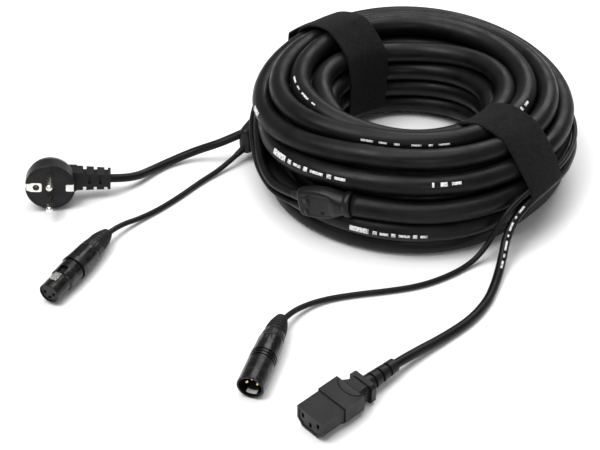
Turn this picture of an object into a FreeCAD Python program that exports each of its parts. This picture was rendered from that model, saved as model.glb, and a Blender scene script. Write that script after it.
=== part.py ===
"""Coil of hybrid stage cable: mains and audio lines under one jacket, tied by two straps.

The frame stands on the coil's axis at floor level, +Z up, millimetres.
Each end of the jacket has a moulded boot that splits it into a mains tail and an audio tail.
The source end carries an angled earthed mains plug and a female audio connector.
The speaker end carries a mains coupler and a male audio connector.
Every connector is drawn in its own frame: +X out of its mating face, the cable towards -X.
"""

import FreeCAD, Part
import math
import os
import re
import Sketcher

Vector = FreeCAD.Vector
Rotation = FreeCAD.Rotation
Placement = FreeCAD.Placement

doc = FreeCAD.newDocument("HybridCableCoil")
sheet = doc.addObject("Spreadsheet::Sheet", "Sizes")

# ---------------------------------------------------------------- driving dimensions

SIZES = {
    # jacketed cable and coil
    "jacket_dia": 16.5,
    "coil_outer_radius": 129.5,
    "coil_inner_radius": 57.0,
    "coil_height": 79.0,
    "coil_corner": 17.0,
    "mains_dia": 6.8,
    "audio_dia": 4.2,
    # hook and loop straps
    "strap_width": 38.0,
    "strap_thick": 2.2,
    "strap_inner_radius": 53.8,
    "strap_outer_radius": 131.6,
    "strap_height": 81.4,
    "strap_corner": 19.0,
    # splitter boots
    "boot_length": 42.0,
    "boot_collar_radius": 10.8,
    "boot_collar_length": 5.0,
    "boot_half_height": 13.5,
    "boot_half_thick": 6.6,
    "boot_end_half_height": 12.5,
    "boot_end_half_thick": 5.0,
    # audio connectors, both sexes
    "barrel_radius": 9.5,
    "barrel_bore": 8.1,
    "insert_radius": 8.0,
    "contact_offset": 3.75,
    "rim_chamfer": 0.35,
    "nut_length": 8.0,
    "nut_radius": 8.6,
    "nut_end_radius": 7.7,
    "nut_bore": 6.8,
    "nut_end_bore": 5.4,
    "sleeve_radius": 5.2,
    "sleeve_dome_radius": 7.1,
    "sleeve_dome_length": 17.0,
    "sleeve_end_radius": 3.6,
    "sleeve_bore": 2.2,
    "chuck_radius": 6.6,
    "chuck_length": 11.0,
    # male audio connector
    "male_shell_length": 45.5,
    "male_cavity_depth": 18.0,
    "male_insert_length": 16.0,
    "male_pin_radius": 1.2,
    "male_pin_setback": 4.0,
    "male_pin_shank_radius": 0.95,
    "male_groove_start": 23.0,
    "male_groove_width": 1.4,
    "male_groove_pitch": 2.6,
    "male_groove_depth": 0.6,
    "earth_tab_thick": 0.45,
    # female audio connector
    "female_shell_length": 52.0,
    "nose_radius": 7.95,
    "nose_bore": 6.9,
    "nose_length": 15.0,
    "female_body_radius": 9.6,
    "female_ring_start": 31.5,
    "female_ring_radius": 10.0,
    "female_insert_radius": 6.8,
    "female_insert_length": 36.0,
    "socket_radius": 1.27,
    "socket_outer_radius": 1.7,
    "socket_depth": 20.0,
    "latch_width": 5.2,
    "latch_clearance": 0.4,
    "latch_bar_low": 4.9,
    "latch_bar_high": 6.0,
    "latch_hook_top": 8.8,
    "latch_tab_top": 7.3,
    "latch_front": 6.5,
    "latch_hook_length": 8.0,
    "latch_tab_start": 15.6,
    "latch_tab_end": 22.5,
    "latch_travel": 1.3,
    "spring_radius": 1.2,
    "spring_wall": 0.4,
    "spring_foot": 0.4,
    "spring_setback": 18.5,
    # earthed mains plug
    "plug_radius": 19.25,
    "plug_straight": 12.0,
    "plug_depth": 28.0,
    "plug_face_radius": 16.6,
    "plug_face_thick": 3.0,
    "plug_pin_radius": 2.4,
    "plug_pin_length": 19.0,
    "plug_pin_tip": 1.2,
    "plug_pin_shank_radius": 1.9,
    "plug_pin_shank_length": 13.0,
    "plug_pin_spacing": 19.0,
    "earth_hole_offset": 10.8,
    "earth_hole_radius": 2.45,
    "earth_hole_outer_radius": 3.2,
    "earth_hole_depth": 16.0,
    "clip_inner": 16.9,
    "clip_thick": 1.2,
    "clip_width": 6.0,
    "clip_depth": 16.8,
    "neck_setback": 16.5,
    "neck_start": 20.0,
    "neck_width": 12.4,
    "neck_height": 15.6,
    "relief_length": 26.5,
    "relief_end_height": 12.6,
    "relief_slot": 1.9,
    "notch_start": 5.0,
    "notch_width": 2.5,
    "notch_pitch": 8.3,
    "side_slot_depth": 1.7,
    "mains_bore": 3.5,
    # mains coupler
    "coupler_half_width": 12.0,
    "coupler_half_height": 7.8,
    "coupler_chamfer": 5.0,
    "coupler_nose_length": 19.5,
    "coupler_step": 0.9,
    "coupler_body_end": 36.5,
    "coupler_waist": 43.0,
    "coupler_waist_half_width": 8.0,
    "coupler_waist_half_height": 6.8,
    "coupler_flange_start": 46.0,
    "coupler_flange_end": 50.0,
    "coupler_flange_half_width": 10.4,
    "coupler_carrier_wall": 1.6,
    "coupler_contact_spacing": 14.0,
    "coupler_contact_rise": 2.0,
    "coupler_slot_width": 2.3,
    "coupler_slot_height": 4.2,
    "coupler_contact_wall": 0.5,
    "coupler_contact_length": 15.5,
    "coupler_lip": 2.2,
    "coupler_relief_end": 78.0,
    "coupler_relief_radius": 6.3,
    "coupler_relief_end_radius": 4.9,
}

for row, (alias, value) in enumerate(SIZES.items(), start=1):
    sheet.set(f"A{row}", alias)
    sheet.set(f"B{row}", str(value))
    sheet.setAlias(f"B{row}", alias)
doc.recompute()

NAME = re.compile(r"[a-z]\w*")


def link(expression):
    """Turn sheet aliases in an expression into references to the sheet."""
    return NAME.sub(lambda found: "Sizes." + found.group(), expression)


def value_of(expression):
    return float(sheet.evalExpression(link(expression)))


def bind(obj, prop, expression):
    obj.setExpression(prop, link(expression))


# ---------------------------------------------------------------- places

# Face centre, yaw, pitch and roll of each connector's frame.
PLUG_PLACE = Placement(Vector(-283.0, -70.4, 21.2), Rotation(-83.0, -7.0, -6.0))
COUPLER_PLACE = Placement(Vector(-82.7, -305.0, 8.8), Rotation(-137.1, 0.0, 0.0))
FEMALE_PLACE = Placement(Vector(-268.7, -181.6, 10.1), Rotation(-116.3, 0.0, 0.0))
MALE_PLACE = Placement(Vector(-122.0, -274.3, 10.1), Rotation(-106.8, 0.0, 0.0))

# Collar and split end of each boot, on the coil's outer side.
SOURCE_BOOT = (Vector(-113.5, 29.2, 20.0), Vector(-135.0, -8.0, 20.0))
SPEAKER_BOOT = (Vector(-50.4, -115.5, 39.5), Vector(-86.5, -100.5, 31.5))

# Azimuth of each strap about the coil's axis, in degrees.
STRAP_AZIMUTHS = {"strap_left": 126.0, "strap_right": -45.0}

# Free tails, from the boot to inside the connector's strain relief.
TAIL_ROUTES = {
    "source_mains_tail": [
        (-118.5, 11.5, 26.0), (-135.0, -2.5, 26.0), (-154.5, -8.0, 19.5), (-174.0, -4.0, 9.5),
        (-193.0, -9.5, 3.8), (-208.5, -23.0, 4.2), (-220.5, -39.0, 8.4), (-238.2, -48.9, 14.0),
        (-258.2, -51.1, 16.4),
    ],
    "source_audio_tail": [
        (-131.5, 0.0, 13.0), (-142.0, -12.0, 9.0), (-155.0, -23.5, 3.4), (-170.0, -38.5, 2.2),
        (-184.0, -56.5, 2.2), (-199.0, -73.0, 2.2), (-213.0, -86.0, 3.2), (-225.5, -98.5, 7.2),
        (-235.3, -113.8, 10.0), (-242.0, -127.4, 10.1),
    ],
    "speaker_mains_tail": [
        (-84.0, -101.6, 35.5), (-106.5, -82.5, 28.5), (-120.5, -55.5, 31.5), (-126.0, -27.0, 37.8),
        (-127.5, 2.0, 42.6), (-122.0, 41.5, 43.4), (-101.0, 84.5, 41.0), (-56.0, 120.0, 38.0),
        (0.0, 132.5, 34.0), (56.0, 120.0, 30.0), (101.5, 85.0, 27.0), (128.0, 34.0, 27.0),
        (132.0, -18.5, 31.0), (117.0, -65.5, 37.0), (98.5, -92.5, 40.0), (83.0, -108.5, 38.5),
        (71.5, -118.5, 30.5), (64.5, -127.0, 19.0), (60.0, -143.5, 7.0), (53.5, -163.0, 3.4),
        (45.5, -182.5, 3.4), (31.5, -202.0, 3.4), (11.5, -219.5, 3.6), (-8.5, -236.0, 6.0),
        (-23.5, -250.0, 8.8), (-36.5, -262.0, 8.8),
    ],
    "speaker_audio_tail": [
        (-84.5, -101.8, 25.5), (-106.0, -83.0, 19.8), (-121.5, -57.0, 23.5), (-130.0, -30.0, 32.5),
        (-131.8, 1.0, 37.6), (-124.5, 41.5, 37.2), (-105.0, 88.5, 35.8), (-58.5, 126.5, 36.5),
        (0.0, 139.5, 38.0), (57.5, 123.5, 39.0), (103.0, 85.5, 38.0), (129.0, 34.0, 38.5),
        (132.5, -18.5, 42.0), (116.5, -66.5, 46.5), (92.5, -97.5, 48.0), (75.0, -112.5, 44.5),
        (63.5, -120.5, 35.5), (55.5, -127.0, 22.0), (47.0, -133.5, 9.5), (36.5, -141.0, 2.8),
        (20.5, -153.0, 2.2), (-1.0, -164.0, 2.2), (-25.0, -169.5, 2.2), (-50.0, -173.5, 2.2),
        (-73.0, -179.5, 2.6), (-90.0, -191.5, 5.6), (-100.0, -206.5, 9.6), (-103.2, -214.0, 10.1),
    ],
}

SMALLEST_BEND = 5.0  # bend radius in diameters below which a warning is printed

FINISHED = []


def finished(obj, label, placement=None):
    """Name a sub-part and put it in its place."""
    if placement is not None:
        obj.Placement = placement
    obj.Label = label
    FINISHED.append(obj)
    return obj


# ---------------------------------------------------------------- shape helpers


def sketch_on(body, role, name, offset=None):
    """A sketch on one of the body's own planes, moved along its normal by offset."""
    sketch = body.newObject("Sketcher::SketchObject", name)
    plane = [f for f in body.Origin.OriginFeatures if f.Role == role][0]
    sketch.AttachmentSupport = [(plane, "")]
    sketch.MapMode = "FlatFace"
    if offset is not None:
        bind(sketch, ".AttachmentOffset.Base.z", offset)
    return sketch


def outline(sketch, corners):
    """Close a polygon through corners whose two coordinates are sheet expressions."""
    points = [(value_of(across), value_of(up)) for across, up in corners]
    count = len(points)
    for index, start in enumerate(points):
        end = points[(index + 1) % count]
        sketch.addGeometry(Part.LineSegment(Vector(*start, 0), Vector(*end, 0)))
    for index in range(count):
        following = (index + 1) % count
        sketch.addConstraint(Sketcher.Constraint("Coincident", index, 2, following, 1))
    for index, corner in enumerate(corners):
        for kind, expression, number in zip(("DistanceX", "DistanceY"), corner, points[index]):
            place = sketch.addConstraint(Sketcher.Constraint(kind, -1, 1, index, 1, number))
            bind(sketch, f"Constraints[{place}]", expression)


def turned(name, corners, angle=360.0, start=0.0):
    """Revolve an outline of (along X, radius) corners about the X axis."""
    body = doc.addObject("PartDesign::Body", name)
    profile = sketch_on(body, "XZ_Plane", name + "_profile")
    outline(profile, corners)
    doc.recompute()
    revolution = body.newObject("PartDesign::Revolution", name + "_turn")
    revolution.Profile = profile
    revolution.ReferenceAxis = (profile, ["H_Axis"])
    revolution.Angle = angle
    body.Placement = Placement(Vector(), Rotation(Vector(1, 0, 0), start))
    doc.recompute()
    return body


def padded(name, role, corners, length, offset="0", middle=False):
    """Pad an outline along the normal of one of the body's planes."""
    body = doc.addObject("PartDesign::Body", name)
    profile = sketch_on(body, role, name + "_profile", offset)
    outline(profile, corners)
    doc.recompute()
    pad = body.newObject("PartDesign::Pad", name + "_pad")
    pad.Profile = profile
    pad.Midplane = middle
    bind(pad, "Length", length)
    doc.recompute()
    return body


def lofted(name, sections):
    """Ruled loft along X through (offset, corners) sections in planes across X."""
    body = doc.addObject("PartDesign::Body", name)
    profiles = []
    for index, (offset, corners) in enumerate(sections):
        profile = sketch_on(body, "YZ_Plane", f"{name}_section_{index}", offset)
        outline(profile, corners)
        profiles.append(profile)
    doc.recompute()
    loft = body.newObject("PartDesign::AdditiveLoft", name + "_loft")
    loft.Profile = profiles[0]
    loft.Sections = profiles[1:]
    loft.Ruled = True
    doc.recompute()
    return body


AXES = {
    "X": Rotation(Vector(0, 1, 0), 90),
    "Y": Rotation(Vector(1, 0, 0), -90),
    "Z": Rotation(),
}


def set_base(obj, base):
    for letter, expression in zip("xyz", base):
        bind(obj, f".Placement.Base.{letter}", expression)


def cylinder(name, radius, length, base=("0", "0", "0"), axis="X"):
    """A cylinder from base towards the positive end of an axis."""
    obj = doc.addObject("Part::Cylinder", name)
    bind(obj, "Radius", radius)
    bind(obj, "Height", length)
    obj.Placement = Placement(Vector(), AXES[axis])
    set_base(obj, base)
    return obj


def block(name, size, base):
    """A box given by its size and its lowest corner."""
    obj = doc.addObject("Part::Box", name)
    for prop, expression in zip(("Length", "Width", "Height"), size):
        bind(obj, prop, expression)
    set_base(obj, base)
    return obj


def joined(name, shapes):
    obj = doc.addObject("Part::MultiFuse", name)
    obj.Shapes = shapes
    return obj


def cut(name, base, tools):
    tool = tools[0] if len(tools) == 1 else joined(name + "_tools", tools)
    obj = doc.addObject("Part::Cut", name)
    obj.Base = base
    obj.Tool = tool
    return obj


# ---------------------------------------------------------------- coil and straps


def rounded_section(inner, outer, height, corner, inset="0"):
    """An upright bundle section in the XZ plane, as a body's sketch outline with cut corners."""
    near = f"{inner} + {inset}"
    far = f"{outer} - {inset}"
    low = inset
    high = f"{height} - {inset}"
    bevel = f"{corner} * 0.3"
    return [
        (f"{near} + {corner}", high),
        (f"{near} + {bevel}", f"{high} - {bevel}"),
        (near, f"{high} - {corner}"),
        (near, f"{low} + {corner} * 0.5"),
        (f"{near} + {corner} * 0.5", low),
        (f"{far} - {corner} * 0.5", low),
        (far, f"{low} + {corner} * 0.5"),
        (far, f"{high} - {corner}"),
        (f"{far} - {bevel}", f"{high} - {bevel}"),
        (f"{far} - {corner}", high),
    ]


def ring_of_section(name, corners):
    """Revolve a section in the XZ plane about the upright axis."""
    body = doc.addObject("PartDesign::Body", name)
    profile = sketch_on(body, "XZ_Plane", name + "_section")
    outline(profile, corners)
    doc.recompute()
    revolution = body.newObject("PartDesign::Revolution", name + "_turn")
    revolution.Profile = profile
    revolution.ReferenceAxis = (profile, ["V_Axis"])
    revolution.Angle = 360.0
    doc.recompute()
    return body


def strap_prism(name, azimuth, inset):
    """The space inside a strap's outline, as wide as the strap, at one azimuth."""
    corners = rounded_section(
        "strap_inner_radius", "strap_outer_radius", "strap_height", "strap_corner", inset
    )
    prism = padded(name, "XZ_Plane", corners, "strap_width", middle=True)
    prism.Placement = Placement(Vector(), Rotation(Vector(0, 0, 1), azimuth))
    return prism


def build_coil_and_straps():
    coil_corners = rounded_section(
        "coil_inner_radius", "coil_outer_radius", "coil_height", "coil_corner"
    )
    bundle = ring_of_section("bundle", coil_corners)
    bands = []
    for label, azimuth in STRAP_AZIMUTHS.items():
        outside = strap_prism(label + "_outside", azimuth, "0")
        inside = strap_prism(label + "_inside", azimuth, "strap_thick")
        band = cut(label + "_band", outside, [inside])
        finished(band, label)
        bands.append(band)
    finished(cut("coil_body", bundle, bands), "hybrid_cable_coil")


# ---------------------------------------------------------------- boots and tails


def frame_along(start, end):
    """A placement at start with +X towards end and +Z as nearly up as it can be."""
    forward = (end - start).normalize()
    side = Vector(0, 0, 1).cross(forward).normalize()
    up = forward.cross(side)
    return Placement(start, Rotation(forward, side, up, "XYZ"))


def boot_section(name, offset, half_thick, half_height):
    """An upright ellipse across the boot's axis."""
    ellipse = doc.addObject("Part::Ellipse", name)
    bind(ellipse, "MajorRadius", half_height)
    bind(ellipse, "MinorRadius", half_thick)
    ellipse.Placement = Placement(Vector(), Rotation(Vector(0, 1, 0), -90))
    bind(ellipse, ".Placement.Base.x", offset)
    return ellipse


def build_boot(label, ends):
    collar = cylinder(label + "_collar", "boot_collar_radius", "boot_collar_length")
    neck_radius = "boot_collar_radius * 0.93"
    sections = [
        boot_section(label + "_neck", "boot_collar_length", neck_radius, "boot_collar_radius * 0.94"),
        boot_section(label + "_hip", "boot_length * 0.45", "boot_half_thick", "boot_half_height"),
        boot_section(label + "_end", "boot_length", "boot_end_half_thick", "boot_end_half_height"),
    ]
    hull = doc.addObject("Part::Loft", label + "_hull")
    hull.Sections = sections
    hull.Solid = True
    finished(joined(label + "_body", [collar, hull]), label, frame_along(*ends))


def rounded_path(points):
    """Straight runs joined by tangent arcs, with the smallest arc's radius and the length."""
    edges = []
    radii = []
    start = points[0]
    for before, corner, after in zip(points, points[1:], points[2:]):
        inward = (before - corner).normalize()
        onward = (after - corner).normalize()
        turn = math.pi - inward.getAngle(onward)
        reach = 0.45 * min((before - corner).Length, (after - corner).Length)
        radius = reach / math.tan(turn / 2)
        radii.append(radius)
        entry = corner + inward * reach
        leave = corner + onward * reach
        middle_direction = (inward + onward).normalize()
        to_centre = radius / math.cos(turn / 2)
        halfway = corner + middle_direction * (to_centre - radius)
        edges.append(Part.LineSegment(start, entry).toShape())
        edges.append(Part.Arc(entry, halfway, leave).toShape())
        start = leave
    edges.append(Part.LineSegment(start, points[-1]).toShape())
    return Part.Wire(edges), radii


def build_tail(label, route, diameter):
    """One free cord, as a tube along its route."""
    points = [Vector(*point) for point in route]
    path, radii = rounded_path(points)
    first_run = points[1] - points[0]
    section = Part.Wire([Part.makeCircle(diameter / 2, points[0], first_run)])
    tube = path.makePipeShell([section], True, True)
    expected = math.pi * diameter**2 / 4 * path.Length
    smallest = min(radii)
    print(f"{label}: length {path.Length:.1f}, radii {[round(radius) for radius in radii]}")
    if smallest < SMALLEST_BEND * diameter:
        print(f"  WARNING {label}: radius {smallest:.1f} is under {SMALLEST_BEND} diameters")
    if abs(tube.Volume / expected - 1) > 0.01:
        raise RuntimeError(f"{label}: volume {tube.Volume:.0f}, expected {expected:.0f}")
    feature = doc.addObject("Part::Feature", label + "_tube")
    feature.Shape = tube
    finished(feature, label)


def build_boots_and_tails():
    build_boot("source_boot", SOURCE_BOOT)
    build_boot("speaker_boot", SPEAKER_BOOT)
    for label, route in TAIL_ROUTES.items():
        alias = "mains_dia" if "mains" in label else "audio_dia"
        build_tail(label, route, value_of(alias))


# ---------------------------------------------------------------- audio connectors


# The three contacts lie a quarter turn apart: one each side and one below.
CONTACT_CENTRES = {1: (-1, 0), 2: (1, 0), 3: (0, -1)}


def contact_place(number, place):
    across, up = CONTACT_CENTRES[number]
    offset = value_of("contact_offset")
    return place * Placement(Vector(0, across * offset, up * offset), Rotation())


def contact_holes(name, radius, length, rear):
    holes = []
    for number, (across, up) in CONTACT_CENTRES.items():
        base = (f"-({rear})", f"{across} * contact_offset", f"{up} * contact_offset")
        holes.append(cylinder(f"{name}_{number}", radius, length, base))
    return holes


def build_cable_entry(prefix, shell_length, place):
    """The collet, nut and bend relief behind an audio connector's shell."""
    chuck_start = f"({shell_length} + 4 - chuck_length)"
    chuck = turned(prefix + "_chuck_body", [
        (f"-{chuck_start}", "sleeve_bore"),
        (f"-{chuck_start}", "chuck_radius"),
        (f"-{chuck_start} - chuck_length * 0.7", "chuck_radius"),
        (f"-{chuck_start} - chuck_length", "chuck_radius - 1.4"),
        (f"-{chuck_start} - chuck_length", "sleeve_bore"),
    ])
    finished(chuck, prefix + "_chuck", place)
    nut_end = f"({shell_length} + nut_length)"
    nut = turned(prefix + "_nut_body", [
        (f"-{shell_length}", "nut_bore"),
        (f"-{shell_length}", "nut_radius"),
        (f"-{nut_end} + 3", "nut_radius - 0.5"),
        (f"-{nut_end}", "nut_end_radius"),
        (f"-{nut_end}", "nut_end_bore"),
        (f"-{nut_end} + 2.5", "nut_end_bore"),
        (f"-{nut_end} + 2.5", "nut_bore"),
    ])
    finished(nut, prefix + "_nut", place)
    flange_start = f"({nut_end} - 4)"
    sleeve = turned(prefix + "_sleeve_body", [
        (f"-{flange_start}", "sleeve_bore"),
        (f"-{flange_start}", "nut_bore - 0.2"),
        (f"-{nut_end} + 2.7", "nut_bore - 0.2"),
        (f"-{nut_end} + 2.7", "sleeve_radius"),
        (f"-{nut_end}", "sleeve_radius"),
        (f"-{nut_end}", "sleeve_dome_radius"),
        (f"-{nut_end} - sleeve_dome_length * 0.6", "sleeve_dome_radius * 0.79"),
        (f"-{nut_end} - sleeve_dome_length", "sleeve_end_radius"),
        (f"-{nut_end} - sleeve_dome_length", "sleeve_bore"),
    ])
    finished(sleeve, prefix + "_sleeve", place)


def build_male_connector():
    place = MALE_PLACE
    corners = [
        ("0", "barrel_bore"),
        ("0", "barrel_radius - rim_chamfer"),
        ("-rim_chamfer", "barrel_radius"),
    ]
    for ring in range(3):
        near = f"-(male_groove_start + {ring} * male_groove_pitch)"
        corners += [
            (near, "barrel_radius"),
            (near, "barrel_radius - male_groove_depth"),
            (f"{near} - male_groove_width", "barrel_radius - male_groove_depth"),
            (f"{near} - male_groove_width", "barrel_radius"),
        ]
    corners += [
        ("-male_shell_length", "barrel_radius - 0.8"),
        ("-male_shell_length", "barrel_bore"),
    ]
    finished(turned("male_shell_body", corners), "xlr_male_shell", place)

    insert_rear = "male_cavity_depth + male_insert_length"
    disc = cylinder("male_insert_disc", "insert_radius", "male_insert_length",
                    (f"-({insert_rear})", "0", "0"))
    holes = contact_holes("male_insert_hole", "male_pin_shank_radius", "male_insert_length + 2",
                          insert_rear + " + 1")
    rolled = place * Placement(Vector(), Rotation(Vector(1, 0, 0), 180))
    finished(cut("male_insert_body", disc, holes), "xlr_male_insert", rolled)

    for number in CONTACT_CENTRES:
        pin = turned(f"male_pin_{number}_body", [
            ("-male_pin_setback", "0"),
            ("-male_pin_setback", "male_pin_radius * 0.55"),
            ("-male_pin_setback - 0.6", "male_pin_radius"),
            ("-male_cavity_depth", "male_pin_radius"),
            ("-male_cavity_depth", "male_pin_shank_radius"),
            (f"-({insert_rear} + 4)", "male_pin_shank_radius"),
            (f"-({insert_rear} + 4)", "0"),
        ])
        finished(pin, f"xlr_male_pin_{number}", contact_place(number, rolled))

    tab_angle = 56.0
    tab = turned("male_earth_tab_body", [
        ("-2.5", "barrel_bore - 0.1 - earth_tab_thick"),
        ("-2.5", "barrel_bore - 0.1"),
        ("-male_cavity_depth", "barrel_bore - 0.1"),
        ("-male_cavity_depth", "barrel_bore - 0.1 - earth_tab_thick"),
    ], angle=tab_angle)
    below = Placement(Vector(), Rotation(Vector(1, 0, 0), 180 - tab_angle / 2))
    finished(tab, "xlr_male_earth_tab", place * below)
    build_cable_entry("xlr_male", "male_shell_length", place)


def latch_space(name, low, top, front, rear, gap):
    """A box in which a stretch of the latch moves, with a gap on every side."""
    half = f"(latch_width / 2 + {gap})"
    return block(
        name,
        (f"{rear} - {front} + 2 * {gap}", f"2 * {half}", f"{top} - ({low})"),
        (f"-({rear}) - {gap}", f"-{half}", low),
    )


def build_female_connector():
    place = FEMALE_PLACE
    blank = turned("female_shell_blank", [
        ("0", "nose_bore"),
        ("0", "nose_radius - rim_chamfer"),
        ("-rim_chamfer", "nose_radius"),
        ("-nose_length", "nose_radius"),
        ("-nose_length - 1.2", "female_body_radius - 0.6"),
        ("-female_ring_start + 1.6", "female_body_radius - 0.4"),
        ("-female_ring_start + 1.6", "female_body_radius - 1"),
        ("-female_ring_start", "female_body_radius - 1"),
        ("-female_ring_start", "female_ring_radius"),
        ("-female_ring_start - 2.4", "female_ring_radius"),
        ("-female_ring_start - 3", "female_body_radius"),
        ("-female_shell_length", "female_body_radius - 0.8"),
        ("-female_shell_length", "barrel_bore"),
        ("-(female_insert_length + 1.5)", "barrel_bore"),
        ("-(female_insert_length + 1.5)", "nose_bore"),
    ])
    hook_end = "latch_front + latch_hook_length"
    hook_window = latch_space("hook_window", "latch_bar_low", "female_body_radius + 1",
                              "latch_front", hook_end, "latch_clearance")
    tab_window = latch_space("tab_window", "latch_bar_low", "female_body_radius + 1",
                             "latch_tab_start", "latch_tab_end", "latch_clearance")
    finished(cut("female_shell_body", blank, [hook_window, tab_window]), "xlr_female_shell", place)

    disc = cylinder("female_insert_disc", "female_insert_radius", "female_insert_length - 0.8",
                    ("-female_insert_length", "0", "0"))
    slot_low = "latch_bar_low - latch_travel - latch_clearance"
    slot = latch_space("latch_slot", slot_low, "female_body_radius",
                       "latch_front", "latch_tab_end", "latch_clearance")
    pocket = cylinder("spring_pocket", "spring_radius + 0.3", "6",
                      ("-spring_setback", "0", "spring_foot"), "Z")
    holes = contact_holes("female_insert_hole", "socket_outer_radius", "female_insert_length + 2",
                          "female_insert_length + 1")
    finished(cut("female_insert_body", disc, [slot, pocket] + holes), "xlr_female_insert", place)

    for number in CONTACT_CENTRES:
        socket = turned(f"female_socket_{number}_body", [
            ("-1.2", "socket_radius"),
            ("-1.2", "socket_outer_radius"),
            ("-female_insert_length", "socket_outer_radius"),
            ("-female_insert_length", "0"),
            ("-1.2 - socket_depth", "0"),
            ("-1.2 - socket_depth", "socket_radius"),
        ])
        finished(socket, f"xlr_female_socket_{number}", contact_place(number, place))

    half_width = "-latch_width / 2"
    bar = block("latch_bar",
                ("latch_tab_end - latch_front", "latch_width", "latch_bar_high - latch_bar_low"),
                ("-latch_tab_end", half_width, "latch_bar_low"))
    hook = block("latch_hook",
                 ("latch_hook_length", "latch_width", "latch_hook_top - latch_bar_low"),
                 (f"-({hook_end})", half_width, "latch_bar_low"))
    tab = block("latch_tab",
                ("latch_tab_end - latch_tab_start", "latch_width", "latch_tab_top - latch_bar_low"),
                ("-latch_tab_end", half_width, "latch_bar_low"))
    finished(joined("latch_body", [bar, hook, tab]), "xlr_female_latch", place)

    spring_height = "latch_bar_low - spring_foot"
    spring_base = ("-spring_setback", "0", "spring_foot")
    coil = cylinder("spring_outside", "spring_radius", spring_height, spring_base, "Z")
    core = cylinder("spring_core", "spring_radius - spring_wall", spring_height, spring_base, "Z")
    finished(cut("spring_body", coil, [core]), "xlr_female_latch_spring", place)
    build_cable_entry("xlr_female", "female_shell_length", place)


# ---------------------------------------------------------------- earthed mains plug


def clip_leg(name, side, gap="0"):
    """A strip from the clip's cross bar to the plug's face, on one side (+1 or -1)."""
    low = f"{side} * (clip_inner + clip_thick / 2) - clip_thick / 2 - {gap}"
    return block(
        name,
        ("clip_depth", f"clip_thick + 2 * {gap}", "clip_width"),
        ("-clip_depth", low, "-clip_width / 2"),
    )


def clip_bar(name):
    half = "(clip_inner + clip_thick)"
    return block(
        name,
        ("1.2", f"2 * {half}", "clip_width"),
        ("-clip_depth - 1.2", f"-{half}", "-clip_width / 2"),
    )


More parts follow.
